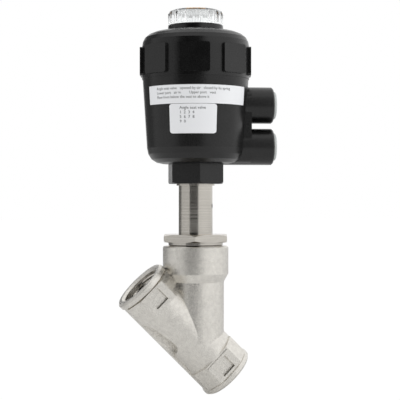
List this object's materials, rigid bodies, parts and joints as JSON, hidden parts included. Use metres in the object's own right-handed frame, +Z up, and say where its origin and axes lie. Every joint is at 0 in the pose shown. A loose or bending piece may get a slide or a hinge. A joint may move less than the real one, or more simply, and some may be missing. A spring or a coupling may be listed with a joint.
{
  "type": "angle seat valve",
  "caption": "Pneumatic angle seat valve with a cast steel body, a steel neck tube and a black piston actuator with a clear cap.",
  "frame": {"origin": "on the pipe axis, 2 mm inside the mouth of the inlet port, the one under the seat", "axes": "+Z up along the stem, the pipe axis in the XZ plane rising towards -X, the pilot ports towards +X"},
  "size_m": [0.0915, 0.0658, 0.221],
  "materials": {
    "cast_steel": "bead-blasted casting",
    "turned_steel": "fine turned",
    "spring_steel": "satin wire",
    "black_plastic": "satin moulded",
    "clear_plastic": "clear moulded plastic",
    "plug_plastic": "milky moulded",
    "indicator_plastic": "glossy",
    "seal_white": "PTFE",
    "bearing_plastic": "machined",
    "rubber": "moulded",
    "brass": "turned",
    "piston_metal": "turned"
  },
  "bodies": {
    "body": {"valve_body": "cast_steel", "body_gasket": "seal_white", "bonnet_nipple": "turned_steel", "actuator_tube": "turned_steel", "support_ring": "turned_steel", "tube_circlip": "spring_steel", "stem_wiper": "seal_white", "packing_washer": "turned_steel", "packing_spring": "spring_steel", "packing_rings": "seal_white", "gland_bush": "seal_white", "upper_stem_bush": "bearing_plastic", "upper_stem_seal": "rubber", "bush_retainer": "turned_steel"},
    "actuator": {"actuator_housing": "black_plastic", "foot_seal": "rubber", "lower_port_insert": "brass", "upper_port_insert": "brass", "actuator_cover": "black_plastic", "housing_seal": "rubber", "rod_seal": "rubber", "return_spring": "spring_steel"},
    "cap_carriage": {"cap_seal": "rubber"},
    "cap": {"clear_cap": "clear_plastic"},
    "lower_plug": {"lower_port_plug": "plug_plastic"},
    "upper_plug": {"upper_port_plug": "plug_plastic"},
    "moving": {"stem": "turned_steel", "swivel_pin": "turned_steel", "plug_carrier": "turned_steel", "seat_disc": "seal_white", "disc_retainer": "turned_steel", "disc_nut": "turned_steel", "piston": "piston_metal", "piston_lip_seal": "rubber", "piston_guide_ring": "bearing_plastic", "piston_washer": "turned_steel", "piston_nut": "turned_steel", "indicator_rod": "turned_steel", "indicator": "indicator_plastic"}
  },
  "joints": [
    {"name": "actuator_turn", "type": "hinge", "parent": "body", "child": "actuator", "pos_m": [-0.01803, 0, 0.11803], "axis": [0, 0, 1], "continuous": true},
    {"name": "stem_lift", "type": "slide", "parent": "body", "child": "moving", "axis": [0, 0, 1], "range_m": [0, 0.009], "stiffness_N_per_m": 300, "springref_m": -0.01, "deforming": ["return_spring"]},
    {"name": "cap_lift", "type": "slide", "parent": "actuator", "child": "cap_carriage", "axis": [0, 0, 1], "range_m": [0, 0.0045]},
    {"name": "cap_turn", "type": "hinge", "parent": "cap_carriage", "child": "cap", "pos_m": [-0.01803, 0, 0.20203], "axis": [0, 0, 1], "range_deg": [0, 1080]},
    {"name": "lower_plug_pull", "type": "slide", "parent": "actuator", "child": "lower_plug", "axis": [0.9848, -0.1736, 0], "range_m": [0, 0.012]},
    {"name": "upper_plug_pull", "type": "slide", "parent": "actuator", "child": "upper_plug", "axis": [0.9848, -0.1736, 0], "range_m": [0, 0.012]}
  ],
  "couplings": [
    {"joint": "cap_turn", "follows": "cap_lift", "rad_per_m": 4188.8}
  ]
}
